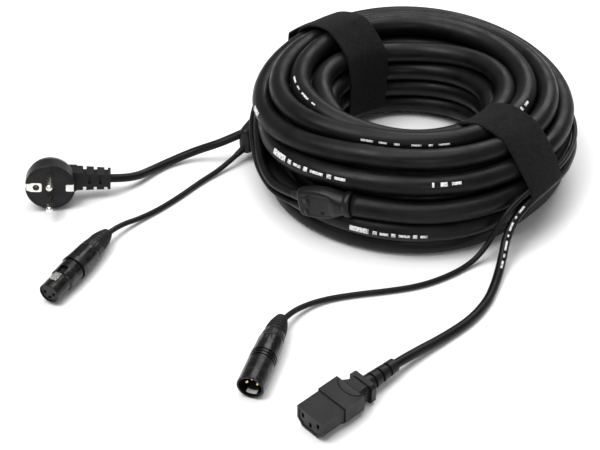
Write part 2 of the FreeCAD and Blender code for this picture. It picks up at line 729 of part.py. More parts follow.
def build_plug():
    place = PLUG_PLACE
    blank = turned("plug_blank", [
        ("0", "plug_face_radius + 0.1"),
        ("0", "plug_radius - 0.5"),
        ("-0.5", "plug_radius"),
        ("-plug_straight", "plug_radius"),
        ("-plug_straight - 5", "plug_radius - 1.4"),
        ("-plug_depth + 3.4", "plug_radius - 5.6"),
        ("-plug_depth", "plug_radius - 11"),
        ("-plug_depth", "0"),
        ("-plug_face_thick", "0"),
        ("-plug_face_thick", "plug_face_radius + 0.1"),
    ])
    neck = block("plug_neck",
                 ("neck_width + 1", "neck_start - 8", "neck_height + 1"),
                 ("-neck_setback - (neck_width + 1) / 2", "8", "-(neck_height + 1) / 2"))
    solid = joined("plug_solid", [blank, neck])
    tools = []
    for side, sign in (("upper", 1), ("lower", -1)):
        tools.append(cylinder(f"plug_shank_hole_{side}", "plug_pin_shank_radius",
                              "plug_pin_shank_length",
                              ("-plug_pin_shank_length", "0", f"{sign} * plug_pin_spacing / 2")))
    for side, sign in (("left", -1), ("right", 1)):
        tools.append(clip_leg(f"clip_recess_{side}", sign))
        tools.append(block(f"clip_notch_{side}", ("9", "4", "clip_width"),
                           ("-9", f"{sign} * (clip_inner + 2) - 2", "-clip_width / 2")))
    tools.append(clip_bar("clip_bar_recess"))
    tools.append(cylinder("earth_socket_recess", "earth_hole_outer_radius", "clip_depth",
                          ("-clip_depth", "-earth_hole_offset", "0")))
    tools.append(cylinder("plug_cable_bore", "mains_bore", "neck_start - 8",
                          ("-neck_setback", "12", "0"), "Y"))
    finished(cut("plug_housing_body", solid, tools), "plug_housing", place)

    disc = cylinder("plug_face_disc", "plug_face_radius", "plug_face_thick",
                    ("-plug_face_thick", "0", "0"))
    face_tools = [
        cylinder("face_upper_hole", "plug_pin_shank_radius", "plug_face_thick",
                 ("-plug_face_thick", "0", "plug_pin_spacing / 2")),
        cylinder("face_lower_hole", "plug_pin_shank_radius", "plug_face_thick",
                 ("-plug_face_thick", "0", "-plug_pin_spacing / 2")),
        cylinder("face_earth_hole", "earth_hole_outer_radius", "plug_face_thick",
                 ("-plug_face_thick", "-earth_hole_offset", "0")),
    ]
    finished(cut("plug_face_body", disc, face_tools), "plug_face_insert", place)

    for label, sign in (("plug_line_pin", 1), ("plug_neutral_pin", -1)):
        pin = turned(label + "_body", [
            ("plug_pin_length", "0"),
            ("plug_pin_length", "plug_pin_radius - plug_pin_tip"),
            ("plug_pin_length - plug_pin_tip * 0.35", "plug_pin_radius - plug_pin_tip * 0.4"),
            ("plug_pin_length - plug_pin_tip", "plug_pin_radius"),
            ("0", "plug_pin_radius"),
            ("0", "plug_pin_shank_radius"),
            ("-plug_pin_shank_length", "plug_pin_shank_radius"),
            ("-plug_pin_shank_length", "0"),
        ])
        height = sign * value_of("plug_pin_spacing") / 2
        finished(pin, label, place * Placement(Vector(0, 0, height), Rotation()))

    legs = [clip_leg(f"clip_leg_{sign}".replace("-", "minus_"), sign) for sign in (-1, 1)]
    finished(joined("earth_clip_body", legs + [clip_bar("clip_bar")]), "plug_earth_clip", place)

    tube = cylinder("earth_socket_outside", "earth_hole_outer_radius", "clip_depth - 0.3",
                    ("-clip_depth", "-earth_hole_offset", "0"))
    bore = cylinder("earth_socket_bore", "earth_hole_radius", "earth_hole_depth",
                    ("-earth_hole_depth", "-earth_hole_offset", "0"))
    finished(cut("earth_socket_body", tube, [bore]), "plug_earth_socket", place)

    relief_end = "(neck_start + relief_length)"
    wedge = padded("plug_relief_wedge", "YZ_Plane", [
        ("neck_start", "-neck_height / 2"),
        (relief_end, "-relief_end_height / 2"),
        (relief_end, "relief_end_height / 2"),
        ("neck_start", "neck_height / 2"),
    ], "neck_width", "-neck_setback", middle=True)
    slots = [cylinder("plug_relief_bore", "mains_bore", "relief_length + 2",
                      ("-neck_setback", "neck_start - 1", "0"), "Y")]
    for index in range(3):
        across = f"neck_start + notch_start + {index} * notch_pitch"
        for side, low in (("top", "4.6"), ("bottom", "-4.6 - 4")):
            slots.append(block(f"plug_relief_notch_{side}_{index}",
                               ("neck_width + 2", "notch_width", "4"),
                               ("-neck_setback - neck_width / 2 - 1", across, low)))
    for index in range(2):
        across = f"neck_start + notch_start + ({index} + 0.5) * notch_pitch"
        for side, near in (("front", "neck_width / 2 - side_slot_depth"), ("back", "-neck_width / 2 - 3")):
            slots.append(block(f"plug_relief_slot_{side}_{index}",
                               ("side_slot_depth + 3", "relief_slot", "7"),
                               (f"-neck_setback + {near}", across, "-1.8")))
    finished(cut("plug_relief_body", wedge, slots), "plug_strain_relief", place)


# ---------------------------------------------------------------- mains coupler


def coupler_outline(grow, chamfer="coupler_chamfer"):
    """The coupler's face: full width above, two corners cut off below."""
    wide = f"(coupler_half_width + {grow})"
    high = f"(coupler_half_height + {grow})"
    return [
        (f"-{wide}", high),
        (wide, high),
        (wide, f"-{high} + {chamfer}"),
        (f"{wide} - {chamfer}", f"-{high}"),
        (f"-{wide} + {chamfer}", f"-{high}"),
        (f"-{wide}", f"-{high} + {chamfer}"),
    ]


def rectangle(half_width, half_height, bevel="2"):
    """An eight-sided section with bevelled corners."""
    return [
        (f"-{half_width}", f"{half_height} - {bevel}"),
        (f"-{half_width} + {bevel}", half_height),
        (f"{half_width} - {bevel}", half_height),
        (half_width, f"{half_height} - {bevel}"),
        (half_width, f"-{half_height} + {bevel}"),
        (f"{half_width} - {bevel}", f"-{half_height}"),
        (f"-{half_width} + {bevel}", f"-{half_height}"),
        (f"-{half_width}", f"-{half_height} + {bevel}"),
    ]


def coupler_contacts():
    """Centre of each contact across the face: two above, the earth below."""
    half = value_of("coupler_contact_spacing") / 2
    rise = value_of("coupler_contact_rise")
    return {"line": (half, rise), "neutral": (-half, rise), "earth": (0.0, -rise)}


def contact_block(name, centre, grow, start, length):
    """A box around a flat contact's slot, grown by a wall on each side."""
    across, up = centre
    return block(
        name,
        (length, f"coupler_slot_width + 2 * {grow}", f"coupler_slot_height + 2 * {grow}"),
        (f"-({start}) - ({length})", f"{across} - coupler_slot_width / 2 - {grow}",
         f"{up} - coupler_slot_height / 2 - {grow}"),
    )


def build_coupler():
    place = COUPLER_PLACE
    nose = padded("coupler_nose", "YZ_Plane", coupler_outline("0"),
                  "coupler_nose_length", "-coupler_nose_length")
    block_length = "coupler_body_end - coupler_nose_length"
    head = padded("coupler_head", "YZ_Plane", coupler_outline("coupler_step"),
                  block_length, "-coupler_body_end")
    grip = lofted("coupler_grip", [
        ("-coupler_body_end", rectangle("(coupler_half_width + coupler_step)",
                                        "(coupler_half_height + coupler_step)", "5")),
        ("-coupler_waist", rectangle("coupler_waist_half_width", "coupler_waist_half_height")),
        ("-coupler_flange_start", rectangle("coupler_waist_half_width",
                                            "coupler_waist_half_height")),
    ])
    flange = padded("coupler_flange", "YZ_Plane",
                    rectangle("coupler_flange_half_width", "coupler_half_height"),
                    "coupler_flange_end - coupler_flange_start", "-coupler_flange_end")
    solid = joined("coupler_solid", [nose, head, grip, flange])
    pocket = padded("coupler_pocket", "YZ_Plane", coupler_outline("-coupler_carrier_wall", "4.2"),
                    "coupler_nose_length - 0.5", "-coupler_nose_length + 0.5")
    bore = cylinder("coupler_cable_bore", "mains_bore", "12",
                    ("-coupler_flange_end", "0", "0"))
    finished(cut("coupler_housing_body", solid, [pocket, bore]), "coupler_housing", place)

    carrier = padded("coupler_carrier", "YZ_Plane", coupler_outline("-coupler_carrier_wall", "4.2"),
                     "coupler_nose_length - 1", "-coupler_nose_length + 0.5")
    tools = []
    for label, centre in coupler_contacts().items():
        tools.append(contact_block(f"coupler_mouth_{label}", centre, "0", "0", "coupler_lip + 1"))
        tools.append(contact_block(f"coupler_seat_{label}", centre, "coupler_contact_wall",
                                   "coupler_lip", "coupler_contact_length"))
    finished(cut("coupler_carrier_body", carrier, tools), "coupler_contact_carrier", place)

    for label, centre in coupler_contacts().items():
        outside = contact_block(f"coupler_{label}_outside", centre, "coupler_contact_wall",
                                "coupler_lip", "coupler_contact_length")
        inside = contact_block(f"coupler_{label}_inside", centre, "0",
                               "coupler_lip", "coupler_contact_length - 1")
        finished(cut(f"coupler_{label}_body", outside, [inside]), f"coupler_{label}_contact", place)

    corners = [
        ("-coupler_flange_end", "mains_bore"),
        ("-coupler_flange_end", "coupler_relief_radius"),
    ]
    ring_count = 3
    for ring in range(ring_count):
        near = f"(coupler_flange_end + 5 + {ring} * 7.4)"
        radius = f"(coupler_relief_radius - {ring + 1} * 0.38)"
        corners += [
            (f"-{near}", radius),
            (f"-{near}", f"{radius} - 1.5"),
            (f"-{near} - relief_slot", f"{radius} - 1.5"),
            (f"-{near} - relief_slot", radius),
        ]
    corners += [
        ("-coupler_relief_end", "coupler_relief_end_radius"),
        ("-coupler_relief_end", "mains_bore"),
    ]
    finished(turned("coupler_relief_body", corners), "coupler_strain_relief", place)


# ---------------------------------------------------------------- build, check, write

build_coil_and_straps()
build_boots_and_tails()
build_male_connector()
build_female_connector()
build_plug()
build_coupler()
doc.recompute()

for item in doc.Objects:
    if "Invalid" in item.State or "Error" in item.State:
        raise RuntimeError(f"{item.Name} failed: {item.State}")
os.makedirs("parts", exist_ok=True)
for item in FINISHED:
    if item.Shape.isNull() or not item.Shape.isValid():
        raise RuntimeError(f"{item.Label} has no valid shape")
    if len(item.Shape.Solids) < 1 or item.Shape.Volume <= 0:
        raise RuntimeError(f"{item.Label} is not a solid")
    item.Shape.exportStep(f"parts/{item.Label}.step")
print(f"wrote {len(FINISHED)} sub-parts")
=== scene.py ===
"""Coiled hybrid stage cable with its straps, boots and four connectors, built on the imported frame."""

import math

import bmesh
import bpy
import numpy as np
from mathutils import Matrix, Vector


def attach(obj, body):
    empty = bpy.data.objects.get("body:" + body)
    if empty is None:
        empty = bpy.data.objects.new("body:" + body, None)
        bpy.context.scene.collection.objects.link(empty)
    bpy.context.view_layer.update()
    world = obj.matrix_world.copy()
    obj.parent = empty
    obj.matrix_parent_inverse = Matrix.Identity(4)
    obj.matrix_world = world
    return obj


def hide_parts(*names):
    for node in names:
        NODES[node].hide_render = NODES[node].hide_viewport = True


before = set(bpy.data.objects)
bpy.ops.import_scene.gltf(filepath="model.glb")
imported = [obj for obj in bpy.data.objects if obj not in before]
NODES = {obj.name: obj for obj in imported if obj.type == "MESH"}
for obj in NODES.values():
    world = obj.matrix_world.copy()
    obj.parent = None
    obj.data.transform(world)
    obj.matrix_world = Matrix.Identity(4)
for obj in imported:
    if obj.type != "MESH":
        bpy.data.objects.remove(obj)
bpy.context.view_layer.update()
MM = 0.001
TAU = 2 * math.pi

# ---------------------------------------------------------------- camera

CAMERA_PLACE = (-0.089, -0.8761, 0.6296)
CAMERA_LOOKS_DOWN = 38.7
LENS = 78.0


def make_camera():
    data = bpy.data.cameras.new("camera")
    data.lens = LENS
    data.sensor_width = 36.0
    data.clip_start = 0.05
    camera = bpy.data.objects.new("camera", data)
    camera.location = CAMERA_PLACE
    camera.rotation_euler = (math.radians(90 - CAMERA_LOOKS_DOWN), 0, 0)
    bpy.context.scene.collection.objects.link(camera)
    bpy.context.scene.camera = camera


make_camera()

# ---------------------------------------------------------------- mesh helpers


def add_object(name, data):
    obj = bpy.data.objects.new(name, data)
    bpy.context.scene.collection.objects.link(obj)
    return obj


def mesh_object(name, verts, faces):
    mesh = bpy.data.meshes.new(name)
    mesh.from_pydata([tuple(v) for v in verts], [], faces)
    mesh.shade_smooth()
    mesh.update()
    return add_object(name, mesh)


def solidified(obj, thickness):
    """Give an open patch a thickness, in millimetres, below its face."""
    skin = obj.modifiers.new("thickness", "SOLIDIFY")
    skin.thickness = thickness * MM
    skin.offset = -1


def eased(share):
    """A share held between 0 and 1, with a gentle start and end."""
    share = min(1, max(0, share))
    return share * share * (3 - 2 * share)


def ring_faces(count, sides, closed=False):
    """Quads that join each ring of vertices to the next one, and the last to the first if closed."""
    faces = []
    for i in range(count if closed else count - 1):
        after = (i + 1) % count
        for j in range(sides):
            k = (j + 1) % sides
            faces.append((i * sides + j, i * sides + k, after * sides + k, after * sides + j))
    return faces


def cap_faces(count, sides):
    """The two faces that close the first and the last ring."""
    return [tuple(reversed(range(sides))), tuple((count - 1) * sides + j for j in range(sides))]


def patch_faces(columns, rows, first=0):
    """Quads of an open patch whose vertices are listed column by column."""
    faces = []
    for i in range(columns - 1):
        for j in range(rows - 1):
            a = first + i * rows + j
            faces.append((a, a + rows, a + rows + 1, a + 1))
    return faces


def add_spline(curve, points):
    """A NURBS line of order 3 that starts and ends on its first and last control points."""
    spline = curve.splines.new("NURBS")
    spline.points.add(len(points) - 1)
    for point, place in zip(spline.points, points):
        point.co = (*place, 1.0)
    spline.order_u = 3
    spline.use_endpoint_u = True
    spline.resolution_u = 8


def centreline(points):
    """Points read from the NURBS line of a route, in metres."""
    data = bpy.data.curves.new("route", "CURVE")
    data.dimensions = "3D"
    add_spline(data, points)
    obj = add_object("route", data)
    bpy.context.view_layer.update()
    mesh = bpy.data.meshes.new_from_object(obj)
    line = [v.co.copy() for v in mesh.vertices]
    bpy.data.objects.remove(obj)
    bpy.data.meshes.remove(mesh)
    return line


def evenly(line, step):
    """The same line with points about one step apart."""
    co = np.array(line)
    runs = np.linalg.norm(np.diff(co, axis=0), axis=1)
    reach = np.concatenate([[0], np.cumsum(runs)])
    count = max(2, round(reach[-1] / step) + 1)
    places = np.linspace(0, reach[-1], count)
    return np.stack([np.interp(places, reach, co[:, i]) for i in range(3)], axis=1), reach[-1]


def frames(co):
    """Unit directions sideways and up at each point of a line that is never upright."""
    ahead = np.gradient(co, axis=0)
    ahead /= np.linalg.norm(ahead, axis=1)[:, None]
    side = np.cross(ahead, (0, 0, 1))
    side /= np.linalg.norm(side, axis=1)[:, None]
    return side, np.cross(side, ahead)


def tube(name, line, radius, step, sides=24):
    """A jacketed cable along a line. UV: metres along, and turn around, from the outer side."""
    co, length = evenly(line, step)
    side, up = frames(co)
    angles = np.arange(sides) * TAU / sides
    ring = np.cos(angles)[None, :, None] * side[:, None, :] + np.sin(angles)[None, :, None] * up[:, None, :]
    verts = (co[:, None, :] + radius * ring).reshape(-1, 3)
    count = len(co)
    obj = mesh_object(name, verts, ring_faces(count, sides) + cap_faces(count, sides))
    layer = obj.data.uv_layers.new(name="along")
    uv = np.zeros((len(obj.data.loops), 2))
    step_length = length / (count - 1)
    row = 0
    for i in range(count - 1):
        for j in range(sides):
            for di, dj in ((0, 0), (0, 1), (1, 1), (1, 0)):
                uv[row] = ((i + di) * step_length, (j + dj) / sides)
                row += 1
    layer.data.foreach_set("uv", uv.ravel())
    return obj, co, length


# ---------------------------------------------------------------- cords

JACKET = 16.5
MAINS = 6.8
AUDIO = 4.2

# Centre of the strand in its bundle, as (radius, height) in millimetres, at four azimuths
# (front, right, back, left), in the order in which the winding passes the front.
SLOTS = [
    ((124.5, 38.5), (121, 40), (120.5, 47.5), (114.5, 40.5)),
    ((113.0, 55.0), (121, 57.5), (120.5, 64.7), (119.5, 56)),
    ((101.5, 70.0), (107.5, 69.5), (104.5, 68.3), (106, 69.5)),
    ((82.0, 72.0), (90.5, 73), (88.5, 74), (89, 73.5)),
    ((66.0, 63.0), (74.5, 69), (66, 60.7), (72, 68)),
    ((65.0, 46.0), (64.5, 54), (65, 44), (65.5, 52)),
    ((65.0, 30.0), (66, 37), (65.5, 27.5), (66, 35)),
    ((66.0, 13.0), (66, 20.5), (66, 11), (66, 18)),
    ((83.0, 8.3), (83, 8.3), (83, 8.3), (83, 8.3)),
    ((82.0, 24.0), (83, 24), (83, 24), (83, 24)),
    ((81.0, 39.5), (83, 40), (83, 40), (83, 40)),
    ((81.0, 55.0), (84, 56), (84, 56.5), (82.5, 56.5)),
    ((97.0, 54.0), (101, 53), (101, 52), (98.5, 55.5)),
    ((105.0, 38.5), (103, 37), (103, 36), (99.5, 39.5)),
    ((106.0, 23.0), (104, 22), (104, 22), (103, 24)),
    ((104.0, 8.3), (104, 8.3), (104, 8.3), (104, 8.3)),
    ((122.0, 8.3), (121, 8.3), (121, 8.3), (120, 8.3)),
    ((126.0, 23.0), (121, 24), (120.5, 30), (118.5, 22)),
]
STEPS_PER_TURN = 24

# Where the strand enters the speaker end's boot and the source end's boot, in millimetres, and the azimuths
# between which it is wound.
COIL_START = (-50.4, -115.5, 39.5)
COIL_END = (-113.5, 29.2, 20.0)
FIRST_AZIMUTH = -113.6
LAST_AZIMUTH = 165.6

# How far the front strap pulls the strands of a slot inwards, in millimetres, at its azimuth.
SQUEEZE = {14: 2.5, 15: 5.0, 16: 7.0, 17: 3.5}
SQUEEZE_AZIMUTH = -45
SQUEEZE_SPREAD = 22


def slot_at(turn, azimuth):
    """The slot's place at an azimuth in degrees, eased between the four that are given."""
    slot = SLOTS[max(0, min(turn, len(SLOTS) - 1))]
    quarter = ((azimuth + 90) % 360) / 90
    index = int(quarter)
    ease = eased(quarter - index)
    near = slot[index]
    far = slot[(index + 1) % 4]
    radius, height = [a + (b - a) * ease for a, b in zip(near, far)]
    away = (azimuth - SQUEEZE_AZIMUTH + 180) % 360 - 180
    return radius - SQUEEZE.get(turn, 0) * math.exp(-(away / SQUEEZE_SPREAD) ** 2), height


def shift_range(turn):
    """The part of a turn, from 0 at the front, in which the strand moves to its next slot."""
    if turn >= 12:
        return 0.76, 0.86
    return 0.74, 0.96


def winding_point(turns):
    """Where the strand is after so many turns from the front."""
    azimuth = -90 + 360 * turns
    turn = math.floor(turns)
    begin, end = shift_range(turn)
    ease = eased((turns - turn - begin) / (end - begin))
    now = slot_at(turn, azimuth)
    after = slot_at(turn + 1, azimuth) if turn >= 0 else now
    radius, height = [a + (b - a) * ease for a, b in zip(now, after)]
    radius /= math.cos(math.pi / STEPS_PER_TURN)
    angle = math.radians(azimuth)
    return (radius * math.cos(angle) * MM, radius * math.sin(angle) * MM, height * MM)


def coil_route():
    first = (FIRST_AZIMUTH + 90) / 360
    last = len(SLOTS) - 1 + (LAST_AZIMUTH + 90) / 360
    count = round((last - first) * STEPS_PER_TURN)
    inner = [winding_point(first + (last - first) * i / count) for i in range(1, count)]
    start, end = [tuple(c * MM for c in place) for place in (COIL_START, COIL_END)]
    return [start] + inner + [end]


# Diameter of each tail and its route from the boot to its connector, in millimetres.
TAIL_ROUTES = {
    "source_mains_tail": (MAINS, [
        (-118.5, 11.5, 26.0), (-135.0, -2.5, 26.0), (-154.5, -8.0, 19.5), (-174.0, -4.0, 9.5),
        (-193.0, -9.5, 3.8), (-208.5, -23.0, 4.2), (-220.5, -39.0, 8.4), (-238.2, -48.9, 14.0),
        (-258.2, -51.1, 16.4),
    ]),
    "source_audio_tail": (AUDIO, [
        (-131.5, 0.0, 13.0), (-142.0, -12.0, 9.0), (-155.0, -23.5, 3.4), (-170.0, -38.5, 2.2),
        (-184.0, -56.5, 2.2), (-199.0, -73.0, 2.2), (-213.0, -86.0, 3.2), (-225.5, -98.5, 7.2),
        (-235.3, -113.8, 10.0), (-242.0, -127.4, 10.1),
    ]),
    "speaker_mains_tail": (MAINS, [
        (-84.0, -101.6, 35.5), (-106.5, -81.0, 27.5), (-118.5, -53.0, 27.0), (-122.6, -25.0, 33.0),
        (-123.5, 2.5, 39.5), (-119.6, 43.0, 42.0), (-100.7, 84.5, 41.0), (-56.0, 120.0, 38.0),
        (0.0, 132.5, 34.0), (56.0, 120.0, 30.0), (101.5, 85.0, 27.0), (128.0, 34.0, 27.0),
        (132.0, -18.5, 31.0), (117.0, -65.5, 37.0), (98.5, -92.5, 40.0), (83.0, -108.5, 38.5),
        (71.5, -118.5, 30.5), (64.5, -127.0, 19.0), (60.0, -143.5, 7.0), (53.5, -163.0, 3.4),
        (45.5, -182.5, 3.4), (31.5, -202.0, 3.4), (11.5, -219.5, 3.6), (-8.5, -236.0, 6.0),
        (-23.5, -250.0, 8.8), (-36.5, -262.0, 8.8),
    ]),
    "speaker_audio_tail": (AUDIO, [
        (-84.5, -101.8, 25.5), (-105.5, -82.0, 19.5), (-120.7, -53.0, 21.5), (-127.4, -24.0, 30.0),
        (-129.0, 3.0, 36.3), (-122.6, 43.5, 36.6), (-105.0, 88.5, 35.8), (-58.5, 126.5, 36.5),
        (0.0, 139.5, 38.0), (57.5, 123.5, 39.0), (103.0, 85.5, 38.0), (129.0, 34.0, 38.5),
        (132.5, -18.5, 42.0), (116.5, -66.5, 46.5), (92.5, -97.5, 48.0), (75.0, -112.5, 44.5),
        (63.5, -120.5, 35.5), (55.5, -127.0, 22.0), (47.0, -133.5, 9.5), (36.5, -141.0, 2.8),
        (20.5, -153.0, 2.2), (-1.0, -164.0, 2.2), (-25.0, -169.5, 2.2), (-50.0, -173.5, 2.2),
        (-73.0, -179.5, 2.6), (-90.0, -191.5, 5.6), (-100.0, -206.5, 9.6), (-103.2, -214.0, 10.1),
    ]),
}


def make_cords():
    line = centreline(coil_route())
    cable, co, length = tube("coiled_cable", line, JACKET / 2 * MM, 5 * MM, 28)
    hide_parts("hybrid_cable_coil")
    cords = {"coiled_cable": (cable, co, length)}
    for label, (diameter, points) in TAIL_ROUTES.items():
        line = centreline([Vector(p) * MM for p in points])
        tail, co, length = tube(label + "_jacket", line, diameter / 2 * MM, diameter * 0.4 * MM, 18)
        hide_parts(label)
        cords[label] = (tail, co, length)
    for obj, _, length in cords.values():
        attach(obj, "cable")
        print("CORD", obj.name, round(length, 4))
    return cords


cords = make_cords()

# ---------------------------------------------------------------- turned pieces


def scaled(place):
    """The same frame, for points given in millimetres."""
    return place @ Matrix.Scale(MM, 4)


def placement(origin, yaw):
    """The frame of a connector, in metres: +X points out of its face."""
    return Matrix.Translation(Vector(origin) * MM) @ Matrix.Rotation(math.radians(yaw), 4, "Z")


FEMALE = placement((-268.7, -181.6, 10.1), -116.3)
MALE = placement((-122.0, -274.3, 10.1), -106.8)


def turned(name, profile, place, shape, sides=96):
    """A closed profile of (x, radius) turned about +X, with shape(x, angle) added to the radius."""
    verts = []
    for x, radius in profile:
        for j in range(sides):
            angle = TAU * j / sides
            reach = radius + shape(x, angle)
            verts.append(place @ Vector((x, reach * math.cos(angle), reach * math.sin(angle))))
    return mesh_object(name, verts, ring_faces(len(profile), sides, closed=True))


# ---------------------------------------------------------------- ribbed sleeves and grips

SLEEVE_RIBS = 6
SLEEVE_LENGTH = 17.0
RIB_DEPTH = 1.5
NUT_LENGTH = 8.0
GRIP_FLATS = 8
FLAT_DEPTH = 0.42
FLUTES = 16
FLUTE_DEPTH = 0.3


def sleeve(label, place, shell_length):
    """The rubber bend relief: a ribbed dome that closes the rear of an audio connector."""
    nut_end = shell_length + NUT_LENGTH
    profile = [(-(nut_end - 4.0), 2.2), (-(nut_end - 4.0), 6.6), (-(nut_end - 2.7), 6.6),
               (-(nut_end - 2.7), 5.2), (-nut_end, 5.2), (-nut_end, 7.2), (-nut_end - 0.25, 7.7)]
    steps = SLEEVE_RIBS * 10
    for i in range(1, steps + 1):
        share = i / steps
        dome = 7.7 - 3.6 * share ** 2.0
        profile.append((-nut_end - 0.25 - (SLEEVE_LENGTH - 0.5) * share, dome))
    profile += [(-nut_end - SLEEVE_LENGTH, 3.7), (-nut_end - SLEEVE_LENGTH, 2.2)]

    def ribs(x, angle):
        """Grooves between the ribs, left out along two narrow strips that hold the ribs together."""
        share = (-x - nut_end) / SLEEVE_LENGTH
        if share < 0.03 or share > 0.985:
            return 0
        wave = 0.5 - 0.5 * math.cos(TAU * SLEEVE_RIBS * share)
        bridge = eased((abs(math.cos(angle + 0.3)) - 0.97) / 0.02)
        return -RIB_DEPTH * (1 - wave) ** 1.5 * (1 - bridge)

    body = turned(label + "_sleeve_ribbed", profile, scaled(place), ribs)
    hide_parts(label + "_sleeve")
    return body


def grip(label, place, begin, end, start_radius, end_radius):
    """Moulded hand grip around the rear of a shell, with shallow flats."""
    steps = 16
    outer = []
    for i in range(steps + 1):
        share = i / steps
        x = -(begin + (end - begin) * share)
        edge = min(share, 1 - share) * (end - begin)
        lip = 0.28 * (1 - eased(edge / 0.7))
        outer.append((x, start_radius + (end_radius - start_radius) * share + 0.34 - lip))
    profile = [(-begin, start_radius - 0.15)] + outer + [(-end, end_radius - 0.15)]

    def flats(x, angle):
        share = (-x - begin) / (end - begin)
        depth = eased(min(share / 0.18, (1 - share) / 0.12))
        half = math.pi / GRIP_FLATS
        turn = ((angle + half) % (TAU / GRIP_FLATS)) - half
        return -FLAT_DEPTH * depth * eased(1 - abs(turn) / half * 1.25)

    body = turned(label + "_grip", profile, scaled(place), flats)
    return body


def nut(label, place, shell_length):
    """The screw nut, with shallow finger flutes."""
    near = shell_length
    profile = [(-near, 6.8), (-near, 8.25), (-near - 0.35, 8.6), (-near - 2.5, 8.5), (-near - 5.0, 8.15),
               (-near - 7.6, 7.75), (-near - NUT_LENGTH, 7.4), (-near - NUT_LENGTH, 5.45),
               (-near - 5.5, 5.45), (-near - 5.5, 6.8)]

    def flutes(x, angle):
        depth = eased((-x - near - 0.2) / 1.2) * eased((near + NUT_LENGTH + x) / 1.2)
        return -FLUTE_DEPTH * depth * (0.5 - 0.5 * math.cos(FLUTES * angle)) ** 3

    body = turned(label + "_nut_fluted", profile, scaled(place), flutes, 160)
    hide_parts(label + "_nut")
    return body


def make_turned_pieces():
    """For each audio connector: its shell's length, and where the grip begins and at which radius."""
    made = {"sleeve": [], "shell": [], "insert": []}
    for label, place, length, begin, start in (
            ("xlr_female", FEMALE, 52.0, 34.6, 9.45), ("xlr_male", MALE, 45.5, 30.0, 9.0)):
        made["sleeve"].append(sleeve(label, place, length))
        made["shell"].append(grip(label, place, begin, length - 0.1, start, 8.72))
        made["insert"].append(nut(label, place, length))
    for pieces in made.values():
        for piece in pieces:
            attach(piece, "cable")
    return made


turned_pieces = make_turned_pieces()

# ---------------------------------------------------------------- earth plates on the plug's face

PLUG = (placement((-283.0, -70.4, 21.2), -83.0) @ Matrix.Rotation(math.radians(-7.0), 4, "Y")
        @ Matrix.Rotation(math.radians(-6.0), 4, "X"))
# distance from the middle of the plug's face, and radius, in millimetres
EARTH_HOLE = (-10.8, 2.45)


def make_earth_plates():
    """The visible ends of the earth strip: one plate around the earth hole, one at the other side clip."""
    mesh = bmesh.new()
    place = scaled(PLUG)
    sides = 40
    outline_of = {
        "socket_side": [(-16.9, -3.0), (-16.9, 3.0), (-14.4, 3.9), (-7.4, 3.9), (-6.4, 2.9), (-6.4, -2.9),
                        (-7.4, -3.9), (-14.4, -3.9)],
        "clip_side": [(16.9, 3.0), (16.9, -3.0), (12.6, -3.0), (12.0, -2.4), (12.0, 2.4), (12.6, 3.0)],
    }

    def edge_point(corners, angle, centre):
        """Where a ray from the centre meets the plate's outline."""
        ray = np.array((math.cos(angle), math.sin(angle)))
        nearest = math.inf
        for a, b in zip(corners, corners[1:] + corners[:1]):
            a, b = np.array(a) - centre, np.array(b) - centre
            span = b - a
            cross = ray[0] * span[1] - ray[1] * span[0]
            if abs(cross) < 1e-9:
                continue
            reach = (a[0] * span[1] - a[1] * span[0]) / cross
            share = (a[0] * ray[1] - a[1] * ray[0]) / cross
            if reach > 0 and -1e-6 <= share <= 1 + 1e-6:
                nearest = min(nearest, reach)
        return centre + ray * nearest

    for label, corners in outline_of.items():
        holed = label == "socket_side"
        centre = np.array((EARTH_HOLE[0], 0.0)) if holed else np.mean(np.array(corners), axis=0)
        rings = []
        for x, grow in ((0.0, 1.0), (0.28, 1.0), (0.36, 0.96)):
            ring = []
            for j in range(sides):
                y, z = centre + (edge_point(corners, TAU * j / sides, centre) - centre) * grow
                ring.append(mesh.verts.new(place @ Vector((x, y, z))))
            rings.append(ring)
        if holed:
            for x, radius in ((0.36, EARTH_HOLE[1] + 0.25), (0.2, EARTH_HOLE[1]), (0.0, EARTH_HOLE[1])):
                ring = []
                for j in range(sides):
                    y = centre[0] + radius * math.cos(TAU * j / sides)
                    z = radius * math.sin(TAU * j / sides)
                    ring.append(mesh.verts.new(place @ Vector((x, y, z))))
                rings.append(ring)
        for near, far in zip(rings, rings[1:]):
            for j in range(sides):
                k = (j + 1) % sides
                mesh.faces.new((near[j], near[k], far[k], far[j]))
        if not holed:
            mesh.faces.new(rings[-1])
    bmesh.ops.recalc_face_normals(mesh, faces=mesh.faces)
    data = bpy.data.meshes.new("plug_earth_plates")
    mesh.to_mesh(data)
    mesh.free()
    obj = add_object("plug_earth_plates", data)
    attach(obj, "cable")
    return obj


earth_plates = make_earth_plates()

# ---------------------------------------------------------------- coupler's finger recess and soft edges

COUPLER = placement((-82.7, -305.0, 8.8), -137.1)
# in the coupler's frame, in millimetres: the recess's straight rear edge, how far its front edge bows ahead,
# its half width, the top of the housing, and how far the recess rises over that
RECESS_REAR, RECESS_BOW, RECESS_HALF, HOUSING_TOP, RECESS_RISE = -36.2, 6.2, 10.6, 8.72, 0.32


def make_finger_recess():
    """The finger recess on top of the coupler: a shallow crescent just behind its shoulder."""
    place = scaled(COUPLER)
    columns, rows = 25, 9
    verts = []
    for i in range(columns):
        y = -RECESS_HALF + 2 * RECESS_HALF * i / (columns - 1)
        front = RECESS_REAR + RECESS_BOW * max(0.02, 1 - (y / 10.8) ** 2) ** 0.6
        for j in range(rows):
            share = j / (rows - 1)
            x = RECESS_REAR + (front - RECESS_REAR) * share
            z = HOUSING_TOP + RECESS_RISE * (4 * share * (1 - share)) ** 0.5
            verts.append(place @ Vector((x, y, z)))
    obj = mesh_object("coupler_finger_recess", verts, patch_faces(columns, rows))
    solidified(obj, 0.3)
    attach(obj, "cable")
    return obj


